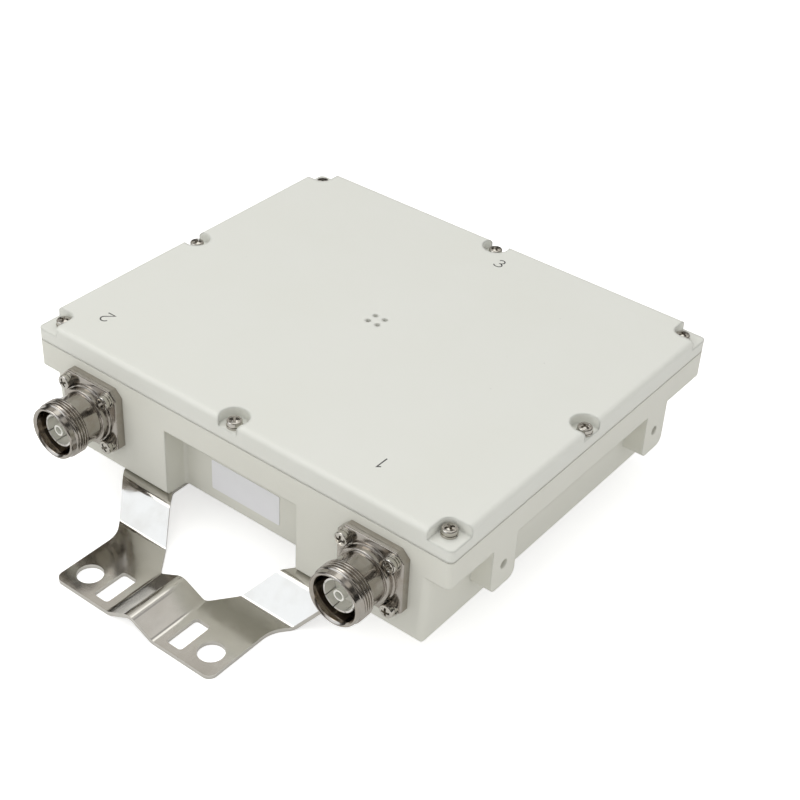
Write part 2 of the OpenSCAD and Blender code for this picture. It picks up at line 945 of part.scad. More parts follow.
module tuning_cover() {
    color("lightgray")
    translate([0, 0, rim_z])
        linear_extrude(cover_t)
            difference() {
                round_rect(
                    2 * (open_x - cover_room),
                    2 * (open_y - cover_room),
                    rim_r - cover_room
                );
                for (p = cover_screw_places) {
                    translate(p)
                        circle(screw_r + room);
                }
                for (p = concat(post_places, iris_places)) {
                    translate(p)
                        circle(tuner_r + fit);
                }
            }
}

module cover_screws() {
    color("silver")
    at_places(cover_screw_places, cover_z)
        small_screw(cover_t + grip_l);
}

module resonator() {
    bowl_l = post_h - post_foot_t;
    difference() {
        union() {
            cylinder(r = post_r, h = post_h);
            translate([0, 0, post_h - cap_t])
                cylinder(r = cap_r, h = cap_t);
        }
        translate([0, 0, post_foot_t])
            cylinder(r = post_bore_r, h = bowl_l + over);
        translate([0, 0, -over])
            cylinder(r = screw_r + room, h = post_foot_t + 2 * over);
    }
}

module resonator_at(i) {
    color("khaki")
    translate([post_places[i - 1].x, post_places[i - 1].y, floor_z])
        resonator();
}

module post_screws() {
    color("silver")
    at_places(post_places, floor_z + post_foot_t)
        small_screw(post_foot_t + grip_l);
}

module tuning_screws() {
    color("goldenrod")
    at_places(post_places, cover_z + tuner_up)
        set_screw(tuner_l);
}

module coupling_screws() {
    color("goldenrod")
    at_places(iris_places, cover_z + tuner_up)
        set_screw(coupler_l);
}

module tuning_nuts() {
    color("darkkhaki")
    at_places(post_places, cover_z)
        lock_nut();
}

module coupling_nuts() {
    color("darkkhaki")
    at_places(iris_places, cover_z)
        lock_nut();
}

// Ports, each drawn looking out along its own +Z from the face of its block

module at_port(i) {
    p = port_places[i - 1];
    translate([p[0], p[1], port_z])
        rotate([90, 0, p[2]])
            children();
}

function flange_screw_places() =
    [for (sx = [-1, 1], sy = [-1, 1]) [sx, sy] * flange_pitch / 2];

module flange_outline() {
    h = flange_w / 2;
    c = h - flange_cut;
    polygon([[h, c], [c, h], [-c, h], [-h, c], [-h, -c], [-c, -h], [c, -h], [h, -c]]);
}

// Turned outline of the barrel, from the boss to the mouth and back to its bore,
// each corner with its distance from the axis, its height and its rounding
module barrel_section() {
    corners = [
        [sleeve_r, 0, 0],
        [neck_r, 0, 0],
        [neck_r, boss_z, 0],
        [ring_r, boss_z, 0],
        [ring_r, ring_z, 0],
        [collar_r, ring_z, 0],
        [collar_r, collar_z, 0],
        [neck_r, collar_z, 0],
        [neck_r, thread_z, 0],
        [thread_r - edge_c, thread_z, 0],
        [thread_r, thread_z + edge_c, 0],
        [thread_r, relief_z - edge_c, 0],
        [thread_r - edge_c, relief_z, 0],
        [relief_r, relief_z, 0],
        [relief_r, shoulder_z, 0],
        [shoulder_r, shoulder_z, 0],
        [shoulder_r, nose_z, shoulder_round],
        [nose_r, nose_z, 0],
        [nose_r, lip_z, 0],
        [lip_r, lip_z, 0],
        [lip_r, port_l, lip_round],
        [mouth_r + mouth_c, port_l, 0],
        [mouth_r, port_l - mouth_c, 0],
        [mouth_r, port_l - mouth_l, 0],
        [sleeve_r, port_l - mouth_l, 0]
    ];
    polygon(rounded([for (c = corners) [c.x, c.y]], [for (c = corners) c.z]));
}

module shell() {
    color("rosybrown")
    difference() {
        union() {
            linear_extrude(flange_t)
                flange_outline();
            translate([0, 0, flange_t])
                linear_extrude(boss_h)
                    difference() {
                        circle(boss_r);
                        for (p = flange_screw_places()) {
                            translate(p)
                                circle(scallop_r);
                        }
                    }
            rotate_extrude()
                barrel_section();
        }
        translate([0, 0, -over])
            cylinder(r = sleeve_r + fit, h = port_l);
        at_places(flange_screw_places(), -over)
            cylinder(r = screw_r + room, h = flange_t + 2 * over);
        translate([0, 0, -over])
            ring(
                flange_seal_r + flange_seal_w / 2 + fit,
                flange_seal_r - flange_seal_w / 2 - fit,
                flange_seal_t + over
            );
    }
}

module sleeve() {
    color("gainsboro")
    difference() {
        translate([0, 0, -spigot_l])
            ring(sleeve_r, sleeve_r - sleeve_t, contact_z + spigot_l);
        for (k = [1:sleeve_slots]) {
            rotate([0, 0, sleeve_turn + k * 360 / sleeve_slots])
                translate([0, -sleeve_slot_w / 2, contact_z - sleeve_slot_l])
                    cube([sleeve_r + over, sleeve_slot_w, sleeve_slot_l + over]);
        }
    }
}

module insulator() {
    color("white")
    translate([0, 0, -spigot_l])
        ring(insulator_r, pin_r + fit, insulator_z + spigot_l);
}

module contact() {
    color("gold")
    difference() {
        translate([0, 0, -spigot_l])
            cylinder(r = pin_r, h = contact_z + spigot_l);
        translate([0, 0, contact_z - socket_l])
            cylinder(r = socket_r, h = socket_l + over);
        translate([0, 0, -spigot_l - over])
            cylinder(r = rod_r + fit, h = rod_grip + over);
    }
}

module seal() {
    color("dimgray")
    ring(flange_seal_r + flange_seal_w / 2, flange_seal_r - flange_seal_w / 2, flange_seal_t);
}

// Rod from the contact into the cavity, with a disc facing the first post
module input_probe() {
    color("peru")
    union() {
        translate([0, 0, -input_l])
            cylinder(r = rod_r, h = input_l + rod_z);
        translate([0, 0, -input_l])
            cylinder(r = disc_r, h = disc_t);
    }
}

// Rod with a cross rod that reaches towards the last post of both banks
module common_probe() {
    color("peru")
    union() {
        translate([0, 0, -common_l])
            cylinder(r = rod_r, h = common_l + rod_z);
        translate([-cross_l / 2, 0, -common_l])
            rotate([0, 90, 0])
                cylinder(r = rod_r, h = cross_l);
        for (side = [0, 180]) {
            rotate([0, 0, side])
                translate([cross_l / 2 - disc_t, 0, -common_l])
                    rotate([0, 90, 0])
                        cylinder(r = disc_r, h = disc_t);
        }
    }
}

module port_part(part, i) {
    at_port(i) {
        if (part == "shell") shell();
        if (part == "sleeve") sleeve();
        if (part == "insulator") insulator();
        if (part == "contact") contact();
        if (part == "seal") seal();
        if (part == "probe" && i != common_port) input_probe();
        if (part == "probe" && i == common_port) common_probe();
    }
}

module at_flange_screws(z) {
    for (i = port_numbers) {
        at_port(i)
            at_places(flange_screw_places(), z)
                children();
    }
}

module flange_screws() {
    color("silver")
    at_flange_screws(flange_head_z)
        small_screw(flange_screw_l);
}

module flange_spring_washers() {
    color("gray")
    at_flange_screws(flange_t + washer_t)
        spring_washer(spring_r, screw_r + room, spring_t);
}

module flange_flat_washers() {
    color("silver")
    at_flange_screws(flange_t)
        ring(washer_r, screw_r + room, washer_t);
}

// Brackets, drawn with the box's end face on y 0 and the plate towards -Y

module bracket_outline() {
    right = [
        [plate_w / 2, -plate_out],
        [plate_w / 2, -waist_out],
        [tabs_w / 2, tab_outer_in],
        [tabs_w / 2, tab_l],
        [tabs_gap / 2, tab_l],
        [tabs_gap / 2, tab_inner_in],
        [notch_w / 2, -notch_out]
    ];
    radii = [plate_r, waist_r, tab_r, tab_r, tab_r, tab_r, notch_r];
    left = [for (p = reversed(right)) [-p.x, p.y]];
    polygon(rounded(concat(right, left), concat(radii, reversed(radii))));
}

module bracket_holes() {
    for (side = [-1, 1]) {
        translate([side * bolt_pitch / 2, bolt_in - plate_out])
            circle(bolt_hole_r);
        translate([side * band_pitch / 2, band_in - plate_out])
            round_rect(band_w, band_l, band_r);
        for (d = [-1, 1]) {
            translate([side * (tab_mid_x + d * tab_screw_pitch / 2), tab_screw_in])
                circle(tab_screw_r + room);
        }
    }
}

// Sheet folded up from the plate to the tabs, seen from the side
module ramp() {
    line = [
        [-plate_out - over, 0],
        [-low_fold_out, 0],
        [-high_fold_out, bracket_rise],
        [tab_l + over, bracket_rise]
    ];
    polygon(folded_sheet(line, sheet_t, fold_r));
}

// Sheet raised along the middle of the plate, where a pole lies
module ridge() {
    line = [
        [-notch_w, 0],
        [-ridge_w / 2, 0],
        [0, ridge_h],
        [ridge_w / 2, 0],
        [notch_w, 0]
    ];
    polygon(folded_sheet(line, sheet_t, ridge_r));
}

module bracket() {
    ridge_edge = ridge_w / 2 + sheet_t;
    color("silver")
    intersection() {
        translate([0, 0, -over])
            linear_extrude(body_z + 2 * over)
                difference() {
                    bracket_outline();
                    bracket_holes();
                }
        union() {
            for (side = [0, 1]) {
                mirror([side, 0, 0])
                    along_x(ridge_edge, tabs_w / 2 + over)
                        ramp();
            }
            along_y(-plate_out - over, notch_r - notch_out)
                ridge();
        }
    }
}

module front_bracket() {
    translate([0, -half_d, 0])
        bracket();
}

module rear_bracket() {
    rotate([0, 0, 180])
        front_bracket();
}

module bracket_screws() {
    color("silver")
    at_places(tab_screw_places, tab_head_z)
        rotate([180, 0, 0])
            pan_screw(tab_screw_r, tab_screw_l, tab_head_r, tab_head_h, tab_dome_r);
}

module bracket_spring_washers() {
    color("gray")
    at_places(tab_screw_places, tab_head_z)
        spring_washer(tab_spring_r, tab_screw_r + room, tab_spring_t);
}

module bracket_flat_washers() {
    color("silver")
    at_places(tab_screw_places, tab_face_z - tab_washer_t)
        ring(tab_washer_r, tab_screw_r + room, tab_washer_t);
}

housing();
lid();
lid_seal();
lid_screws();
lid_washers();
vent_membrane();
label();
tuning_cover();
cover_screws();
post_screws();
tuning_screws();
tuning_nuts();
coupling_screws();
coupling_nuts();
for (i = post_numbers) {
    resonator_at(i);
}
for (i = port_numbers, part = port_parts) {
    port_part(part, i);
}
flange_screws();
flange_spring_washers();
flange_flat_washers();
front_bracket();
rear_bracket();
bracket_screws();
bracket_spring_washers();
bracket_flat_washers();
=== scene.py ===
# Looks of the cavity diplexer: painted castings, plated ports, stainless screws and brackets.
import math

import bmesh
import bpy
from mathutils import Matrix, Vector


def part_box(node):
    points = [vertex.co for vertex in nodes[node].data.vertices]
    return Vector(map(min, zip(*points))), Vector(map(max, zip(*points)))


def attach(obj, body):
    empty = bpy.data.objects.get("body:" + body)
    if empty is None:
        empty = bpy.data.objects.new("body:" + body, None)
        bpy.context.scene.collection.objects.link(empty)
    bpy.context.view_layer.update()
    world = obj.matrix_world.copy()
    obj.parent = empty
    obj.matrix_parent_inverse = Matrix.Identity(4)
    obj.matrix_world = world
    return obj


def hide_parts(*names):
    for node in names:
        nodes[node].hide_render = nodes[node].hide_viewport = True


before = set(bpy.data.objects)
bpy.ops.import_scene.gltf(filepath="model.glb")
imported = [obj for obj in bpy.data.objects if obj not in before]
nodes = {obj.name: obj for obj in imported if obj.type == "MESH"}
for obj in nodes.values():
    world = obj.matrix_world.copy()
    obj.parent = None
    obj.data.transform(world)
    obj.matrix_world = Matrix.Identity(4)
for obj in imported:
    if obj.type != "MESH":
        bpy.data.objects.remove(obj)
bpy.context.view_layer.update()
MM = 0.001
TAU = 2 * math.pi
IMAGE_PX = 800
SENSOR_MM = 36


def add_node(tree, kind, **settings):
    """New node with its settings."""
    node = tree.nodes.new(kind)
    for key, value in settings.items():
        setattr(node, key, value)
    return node


# Camera of the photograph

def place_camera(azimuth, elevation, roll, focal_px, distance, target):
    """Camera at a distance from the target in metres, turned by angles in degrees."""
    az, el, r = (math.radians(v) for v in (azimuth, elevation, roll))
    out = Vector((math.sin(az) * math.cos(el), -math.cos(az) * math.cos(el), math.sin(el)))
    right = (-out).cross(Vector((0, 0, 1))).normalized()
    up = right.cross(-out).normalized()
    x = right * math.cos(r) + up * math.sin(r)
    y = up * math.cos(r) - right * math.sin(r)
    turn = Matrix((x, y, out)).transposed().to_4x4()
    data = bpy.data.cameras.new("camera")
    data.sensor_width = SENSOR_MM
    data.lens = focal_px / IMAGE_PX * SENSOR_MM
    data.clip_start = 0.01
    data.clip_end = 20
    cam = bpy.data.objects.new("camera", data)
    cam.matrix_world = Matrix.Translation(target + out * distance) @ turn
    bpy.context.scene.collection.objects.link(cam)
    bpy.context.scene.camera = cam


place_camera(
    azimuth=36.16,
    elevation=36.02,
    roll=3.29,
    focal_px=1563.17,
    distance=0.51496,
    target=Vector((0.02696, -0.02074, 0.0481)),
)


# Materials

NOISE_RANGE = (0.3, 0.7)
BEVEL_SAMPLES = 6


class Material:
    """A Principled material with short calls for its texture nodes."""

    def __init__(self, name, color, roughness, metallic=0.0):
        self.mat = bpy.data.materials.new(name)
        self.mat.use_nodes = True
        self.tree = self.mat.node_tree
        self.bsdf = self.tree.nodes["Principled BSDF"]
        self.color = color
        self.bsdf.inputs["Base Color"].default_value = (*color, 1)
        self.bsdf.inputs["Roughness"].default_value = roughness
        self.bsdf.inputs["Metallic"].default_value = metallic
        self.normal = None
        self.place = self.add("ShaderNodeTexCoord").outputs["Object"]

    def add(self, kind, **settings):
        return add_node(self.tree, kind, **settings)

    def link(self, a, b):
        self.tree.links.new(a, b)

    def noise(self, size, detail=2.0, rough=0.5, stretch=(1, 1, 1)):
        """Noise with features of about size millimetres, drawn out by stretch."""
        mapping = self.add("ShaderNodeMapping")
        mapping.inputs["Scale"].default_value = [1 / (size * MM * s) for s in stretch]
        self.link(self.place, mapping.inputs["Vector"])
        node = self.add("ShaderNodeTexNoise")
        node.inputs["Scale"].default_value = 1
        node.inputs["Detail"].default_value = detail
        node.inputs["Roughness"].default_value = rough
        self.link(mapping.outputs[0], node.inputs["Vector"])
        return node.outputs["Fac"]

    def remap(self, value, lo, hi, to_lo, to_hi):
        """The value's range from lo to hi spread over to_lo to to_hi."""
        node = self.add("ShaderNodeMapRange")
        for key, v in zip(("From Min", "From Max", "To Min", "To Max"), (lo, hi, to_lo, to_hi)):
            node.inputs[key].default_value = v
        self.link(value, node.inputs["Value"])
        return node.outputs["Result"]

    def tint(self, value, color):
        """Moves the base colour towards color where value is 1."""
        mix = self.add("ShaderNodeMix", data_type="RGBA")
        socket = self.bsdf.inputs["Base Color"]
        if socket.is_linked:
            self.link(socket.links[0].from_socket, mix.inputs["A"])
        else:
            mix.inputs["A"].default_value = (*self.color, 1)
        mix.inputs["B"].default_value = (*color, 1)
        self.link(value, mix.inputs["Factor"])
        self.link(mix.outputs["Result"], socket)

    def rough(self, value, lo, hi):
        """Roughness between lo and hi, following the value."""
        self.link(self.remap(value, *NOISE_RANGE, lo, hi), self.bsdf.inputs["Roughness"])

    def soften(self, radius):
        """Rounds the look of sharp edges by radius millimetres."""
        bevel = self.add("ShaderNodeBevel", samples=BEVEL_SAMPLES)
        bevel.inputs["Radius"].default_value = radius * MM
        self.normal = bevel.outputs["Normal"]
        self.link(self.normal, self.bsdf.inputs["Normal"])

    def bump(self, height, depth):
        """Height from 0 to 1 stands for depth millimetres."""
        bump = self.add("ShaderNodeBump")
        bump.inputs["Strength"].default_value = 1.0
        bump.inputs["Distance"].default_value = depth * MM
        self.link(height, bump.inputs["Height"])
        if self.normal:
            self.link(self.normal, bump.inputs["Normal"])
        self.normal = bump.outputs["Normal"]
        self.link(self.normal, self.bsdf.inputs["Normal"])


def paint(name, color, edge):
    """Satin powder paint: orange peel, a trace of unevenness and a few specks."""
    m = Material(name, color, 0.42)
    m.bsdf.inputs["Specular IOR Level"].default_value = 0.45
    m.soften(edge)
    m.bump(m.noise(1.1, 2, 0.45), 0.012)
    m.bump(m.noise(0.28, 2, 0.6), 0.004)
    m.rough(m.noise(14, 3, 0.6), 0.36, 0.46)
    cloud = m.remap(m.noise(38, 3, 0.55), 0.35, 0.7, 0, 0.35)
    m.tint(cloud, [c * k for c, k in zip(color, (0.965, 0.965, 0.94))])
    speck = m.remap(m.noise(2.2, 1, 0.5), 0.82, 0.85, 0, 0.3)
    m.tint(speck, [c * 0.62 for c in color])
    return m.mat


def plating():
    """Warm grey plating on turned brass, with fine tool rings along the axis."""
    m = Material("plating", (0.42, 0.392, 0.355), 0.15, 1.0)
    m.soften(0.12)
    rings = m.noise(0.12, 2, 0.6, (60, 1, 60))
    m.bump(rings, 0.0016)
    m.rough(m.noise(0.5, 3, 0.6, (8, 1, 8)), 0.11, 0.2)
    stain = m.remap(m.noise(5, 3, 0.6), 0.45, 0.75, 0, 0.6)
    m.tint(stain, (0.30, 0.255, 0.21))
    return m.mat


def bore_painted_shade():
    """Painted shade for the inside of a port's mouth: the plating made dark brown, with lighter warm
    patches at random.
    """
    m = Material("bore_painted_shade", (0.22, 0.185, 0.15), 0.16, 1.0)
    m.bump(m.noise(0.12, 2, 0.6, (60, 1, 60)), 0.002)
    m.rough(m.noise(0.7, 3, 0.6, (6, 1, 6)), 0.1, 0.22)
    m.tint(m.remap(m.noise(3, 2, 0.6), 0.5, 0.75, 0, 0.7), (0.36, 0.27, 0.18))
    return m.mat


def stainless(name, color, lo, hi, edge):
    """Machined stainless steel with a roughness between lo and hi."""
    m = Material(name, color, lo, 1.0)
    m.soften(edge)
    m.bump(m.noise(0.5, 3, 0.6), 0.003)
    m.rough(m.noise(1.5, 3, 0.6), lo, hi)
    m.tint(m.remap(m.noise(2.5, 3, 0.6), 0.5, 0.75, 0, 0.7), [c * 0.72 for c in color])
    return m.mat


def bracket_steel():
    """Bright rolled sheet: long faint rolling lines, slight waviness, handling haze."""
    m = Material("bracket_steel", (0.60, 0.58, 0.54), 0.12, 1.0)
    m.bump(m.noise(9, 2, 0.5), 0.05)
    m.bump(m.noise(0.25, 2, 0.6, (1, 40, 1)), 0.0008)
    m.rough(m.noise(6, 4, 0.65, (1, 3, 1)), 0.06, 0.17)
    m.tint(m.remap(m.noise(12, 3, 0.6), 0.4, 0.75, 0, 0.6), (0.50, 0.47, 0.42))
    return m.mat


def bright_contact(name, color, metallic):
    """Pale silvered contact with a soft sheen."""
    m = Material(name, color, 0.35, metallic)
    m.soften(0.06)
    m.rough(m.noise(0.8, 3, 0.6), 0.3, 0.42)
    return m.mat


def insulator_white():
    m = Material("insulator_white", (0.74, 0.73, 0.66), 0.5)
    m.soften(0.08)
    m.bump(m.noise(0.35, 2, 0.6), 0.01)
    return m.mat


def rubber():
    m = Material("rubber", (0.03, 0.03, 0.03), 0.7)
    m.bump(m.noise(0.4, 3, 0.6), 0.02)
    return m.mat


def film(name, color, roughness):
    """Thin matt film with faint clouds."""
    m = Material(name, color, roughness)
    m.soften(0.06)
    m.bump(m.noise(0.6, 2, 0.5), 0.006)
    m.tint(m.remap(m.noise(7, 2, 0.5), 0.4, 0.7, 0, 0.4), [c * 0.96 for c in color])
    return m.mat


def plain_metal(name, color, lo, hi):
    """Metal of the pieces inside the box."""
    m = Material(name, color, lo, 1.0)
    m.soften(0.15)
    m.bump(m.noise(0.4, 3, 0.6), 0.004)
    m.rough(m.noise(3, 3, 0.6), lo, hi)
    return m.mat


def ink():
    m = Material("ink", (0.05, 0.05, 0.048), 0.6)
    m.tint(m.remap(m.noise(0.5, 3, 0.6), 0.45, 0.7, 0, 0.5), (0.13, 0.13, 0.125))
    return m.mat


# Housing and lid carry one off-white paint. The housing's copy is darker and warmer, painted shade of its
# walls. The lid's copy is lighter and cooler, painted light of its top.
PAINT_BOX_SHADED = paint("paint_box_shaded", (0.74, 0.735, 0.665), 0.8)
PAINT_LID_LIT = paint("paint_lid_lit", (0.765, 0.77, 0.715), 1.4)
PLATING = plating()
# Painted shade: dark plating for the wall inside each port's mouth
PAINTED_BORE_SHADE = bore_painted_shade()
STEEL = stainless("steel", (0.53, 0.505, 0.46), 0.07, 0.15, 0.08)
BRACKET = bracket_steel()
SLEEVE = bright_contact("silvered_sleeve", (0.84, 0.83, 0.79), 0.7)
CONTACT = bright_contact("silvered_contact", (0.86, 0.86, 0.80), 0.25)
INSULATOR = insulator_white()
RUBBER = rubber()
LABEL = film("label_film", (0.87, 0.87, 0.89), 0.4)
VENT = film("vent_film", (0.62, 0.60, 0.55), 0.7)
ALUMINIUM = plain_metal("aluminium", (0.80, 0.80, 0.81), 0.22, 0.38)
BRASS = plain_metal("brass", (0.78, 0.62, 0.33), 0.2, 0.32)
INK = ink()


def dress(obj, mat):
    if not obj.material_slots:
        obj.data.materials.append(mat)
    for slot in obj.material_slots:
        slot.material = mat


NODE_MATERIALS = {
    "housing": PAINT_BOX_SHADED,
    "lid": PAINT_LID_LIT,
    "label": LABEL,
    "vent_membrane": VENT,
    "lid_seal": RUBBER,
    "tuning_cover": ALUMINIUM,
    "resonator": ALUMINIUM,
    "tuning_screws": BRASS,
    "tuning_nuts": BRASS,
    "coupling_screws": BRASS,
    "coupling_nuts": BRASS,
    "front_bracket": BRACKET,
    "rear_bracket": BRACKET,
    "shell": PLATING,
    "sleeve": SLEEVE,
    "contact": CONTACT,
    "probe": CONTACT,
    "insulator": INSULATOR,
    "seal": RUBBER,
}

for name, obj in nodes.items():
    key = name
    if name.startswith("resonator_"):
        key = "resonator"
    elif name.startswith("port_"):
        key = name.split("_")[2]
    dress(obj, NODE_MATERIALS.get(key, STEEL))


# Mesh helpers

def new_object(name, bm, mat, smooth_angle=35):
    mesh = bpy.data.meshes.new(name)
    bm.normal_update()
    bm.to_mesh(mesh)
    bm.free()
    obj = bpy.data.objects.new(name, mesh)
    bpy.context.scene.collection.objects.link(obj)
    mesh.materials.append(mat)
    mesh.shade_smooth()
    mesh.set_sharp_from_angle(angle=math.radians(smooth_angle))
    return obj


def vertex(bm, x, y, z):
    """New vertex at a place in millimetres."""
    return bm.verts.new((x * MM, y * MM, z * MM))


def join_rings(bm, rings):
    """Closed band of faces between each ring of vertices and the next."""
    for low, high in zip(rings, rings[1:]):
        for k in range(len(low)):
            j = (k + 1) % len(low)
            bm.faces.new((low[k], low[j], high[j], high[k]))


def lathe(bm, profile, steps, radius_at=None):
    """Turns the line of (radius, height) points in millimetres about Z."""
    rings = []
    for r, z in profile:
        ring = []
        for k in range(steps):
            a = TAU * k / steps
            rr = radius_at(r, z, a) if radius_at else r
            ring.append(vertex(bm, rr * math.cos(a), rr * math.sin(a), z))
        rings.append(ring)
    join_rings(bm, rings)
    return rings


def cap(bm, ring, height=None):
    """Closes a ring with a fan about its middle."""
    middle = sum((v.co for v in ring), Vector()) / len(ring)
    if height is not None:
        middle.z = height * MM
    centre = bm.verts.new(middle)
    for k in range(len(ring)):
        bm.faces.new((ring[k], ring[(k + 1) % len(ring)], centre))


def prism(bm, outline, z0, z1):
    """Upright plate on an outline given in millimetres; gives back its upper ring."""
    low = [vertex(bm, x, y, z0) for x, y in outline]
    high = [vertex(bm, x, y, z1) for x, y in outline]
    bm.faces.new(list(reversed(low)))
    bm.faces.new(high)
    join_rings(bm, (low, high))
    return high


def round_edges(bm, edges, width, segments):
    """Rounds edges by a width in millimetres."""
    bmesh.ops.bevel(
        bm, geom=edges, offset=width * MM, segments=segments, profile=0.5, affect="EDGES"
    )


def solids(node):
    """Lowest and highest corner of each separate solid of a CAD node."""
    bm = bmesh.new()
    bm.from_mesh(nodes[node].data)
    bmesh.ops.remove_doubles(bm, verts=bm.verts, dist=1e-6)
    left = set(bm.verts)
    found = []
    while left:
        stack = [left.pop()]
        seen = list(stack)
        while stack:
            for edge in stack.pop().link_edges:
                for v in edge.verts:
                    if v in left:
                        left.remove(v)
                        stack.append(v)
                        seen.append(v)
        lo = Vector([min(v.co[i] for v in seen) for i in range(3)])
        hi = Vector([max(v.co[i] for v in seen) for i in range(3)])
        found.append((lo, hi))
    bm.free()
    return sorted(found, key=lambda s: tuple(round(c, 5) for c in s[0]))


# Cross-recessed screws

CUTTER_RISE = 0.3
FLARE_WIDTH, FLARE_SLOT = 1.06, 1.1
TIP_WIDTH, TIP_SLOT = 0.42, 0.72


def recess_cutter(width, slot, depth):
    """Two crossed tapered blades, as a cross-point driver leaves."""
    bm = bmesh.new()
    for turn in (0, math.pi / 2):
        c, s = math.cos(turn), math.sin(turn)
        rows = []
        for half, thick, z in (
            (width / 2 * FLARE_WIDTH, slot / 2 * FLARE_SLOT, CUTTER_RISE),
            (width / 2, slot / 2, 0),
            (width / 2 * TIP_WIDTH, slot / 2 * TIP_SLOT, -depth),
        ):
            row = []
            for x, y in ((-half, -thick), (half, -thick), (half, thick), (-half, thick)):
                row.append(vertex(bm, x * c - y * s, x * s + y * c, z))
            rows.append(row)
        join_rings(bm, rows)
        bm.faces.new(list(reversed(rows[0])))
        bm.faces.new(rows[-1])
    bmesh.ops.recalc_face_normals(bm, faces=bm.faces)
    return bm


HEAD_CHAMFER = 0.15
HEAD_CORNER = 0.45
CORNER_TURN = math.radians(62)
CORNER_STEPS = 5
DOME_STEPS = 9
HEAD_STEPS = 48
RECESS_SINK = 0.06


def screw_profile(shank_r, head_r, head_h, dome_r, length):
    """Turned outline of a pan head screw, from its end to near the top of its dome."""
    drop = dome_r - math.sqrt(dome_r**2 - head_r**2)
    side = head_h - drop
    profile = [(shank_r, -length), (shank_r, 0), (head_r - HEAD_CHAMFER, 0), (head_r, HEAD_CHAMFER)]
    for k in range(CORNER_STEPS + 1):
        a = k / CORNER_STEPS * CORNER_TURN
        r = head_r - HEAD_CORNER * (1 - math.cos(a))
        profile.append((r, side - HEAD_CHAMFER + HEAD_CORNER * math.sin(a)))
    start = math.asin(profile[-1][0] / dome_r)
    for k in range(1, DOME_STEPS):
        a = start * (1 - k / DOME_STEPS)
        profile.append((dome_r * math.sin(a), head_h - dome_r + dome_r * math.cos(a)))
    return profile


def screw_mesh(name, shank_r, head_r, head_h, dome_r, length, recess):
    """Pan head with a rolled edge and a cross recess; its underside is on z 0."""
    bm = bmesh.new()
    rings = lathe(bm, screw_profile(shank_r, head_r, head_h, dome_r, length), HEAD_STEPS)
    cap(bm, rings[-1], head_h)
    cap(bm, list(reversed(rings[0])))
    bmesh.ops.recalc_face_normals(bm, faces=bm.faces)
    body = new_object(name + "_blank", bm, STEEL)
    cutter_bm = recess_cutter(*recess)
    bmesh.ops.translate(cutter_bm, verts=cutter_bm.verts, vec=(0, 0, (head_h - RECESS_SINK) * MM))
    cutter = new_object(name + "_cutter", cutter_bm, STEEL)
    mod = body.modifiers.new("recess", "BOOLEAN")
    mod.operation = "DIFFERENCE"
    mod.solver = "EXACT"
    mod.use_self = True
    mod.object = cutter
    deps = bpy.context.evaluated_depsgraph_get()
    mesh = bpy.data.meshes.new_from_object(body.evaluated_get(deps))
    mesh.name = name
    bpy.data.objects.remove(body)
    bpy.data.objects.remove(cutter)
    return mesh


FIRST_SPIN, NEXT_SPIN = 0.35, 1.7


def outer_face(lo, hi, axis):
    """Middle of the side of the box from lo to hi that the axis points at."""
    middle = (lo + hi) / 2
    return Vector([hi[i] if axis[i] > 0.5 else lo[i] if axis[i] < -0.5 else middle[i] for i in range(3)])


def place_screws(name, node, mesh, head_h, out):
    """One piece with a screw in place of each solid of a node; out gives a solid's outward axis."""
    bm = bmesh.new()
    for k, (lo, hi) in enumerate(solids(node)):
        axis = out(lo, hi)
        top = outer_face(lo, hi, axis)
        turn = axis.to_track_quat("Z", "Y").to_matrix().to_4x4()
        spin = Matrix.Rotation(FIRST_SPIN + NEXT_SPIN * k, 4, "Z")
        part = bmesh.new()
        part.from_mesh(mesh)
        part.transform(Matrix.Translation(top - axis * head_h * MM) @ turn @ spin)
        copy = bpy.data.meshes.new("part")
        part.to_mesh(copy)
        part.free()
        bm.from_mesh(copy)
        bpy.data.meshes.remove(copy)
    obj = new_object(name, bm, STEEL, 30)
    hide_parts(node)
    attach(obj, "root")


def up(*_):
    return Vector((0, 0, 1))


def down(*_):
    return Vector((0, 0, -1))


def away(lo, hi):
    return Vector((0, 1 if lo.y + hi.y > 0 else -1, 0))


SMALL_HEAD, LARGE_HEAD = 2.0, 2.6
small = screw_mesh(
    "small_screw",
    shank_r=1.5,
    head_r=2.52,
    head_h=SMALL_HEAD,
    dome_r=5.6,
    length=4.0,
    recess=(3.5, 0.86, 1.4),
)
large = screw_mesh(
    "large_screw",
    shank_r=2.0,
    head_r=3.9,
    head_h=LARGE_HEAD,
    dome_r=7.0,
    length=5.0,
    recess=(4.4, 1.0, 1.8),
)
place_screws("lid_screw_set", "lid_screws", small, SMALL_HEAD, up)
place_screws("flange_screw_set", "flange_screws", small, SMALL_HEAD, away)
place_screws("bracket_screw_set", "bracket_screws", large, LARGE_HEAD, down)


# Port shells with their threads, in millimetres from the back of the flange

REAR_PORT = 3
FLANGE_HALF = 12.7
FLANGE_FLAT = 9.8
FLANGE_T = 3.3
FLANGE_EDGE = 0.4
SCREW_AT = 9.14
BOSS_R = 10.6
BOSS_TOP = 4.3
BOSS_ROWS = ((0, 3.25), (0, 4.0), (0.09, 4.18), (0.3, BOSS_TOP), (1.7, BOSS_TOP))
BOSS_STEPS = 192
SCALLOP_R = 3.2
NECK_R = 9.0
COLLAR_R = 9.97
NOSE_R = 9.47
MOUTH_R = 8.0
SLEEVE_GAP_R = 6.05
FOOT_Z = 3.0
SEAT_Z = 9.0
BARREL_STEPS = 144
THREAD_R = 10.0
THREAD_LOW, THREAD_HIGH, PITCH = 12.9, 17.05, 1.0
THREAD_DEPTH = 0.62
THREAD_STEPS = 72
END_FADE = 0.5
END_CUT = 0.35
ROOT, FLANK = 0.16, 0.28
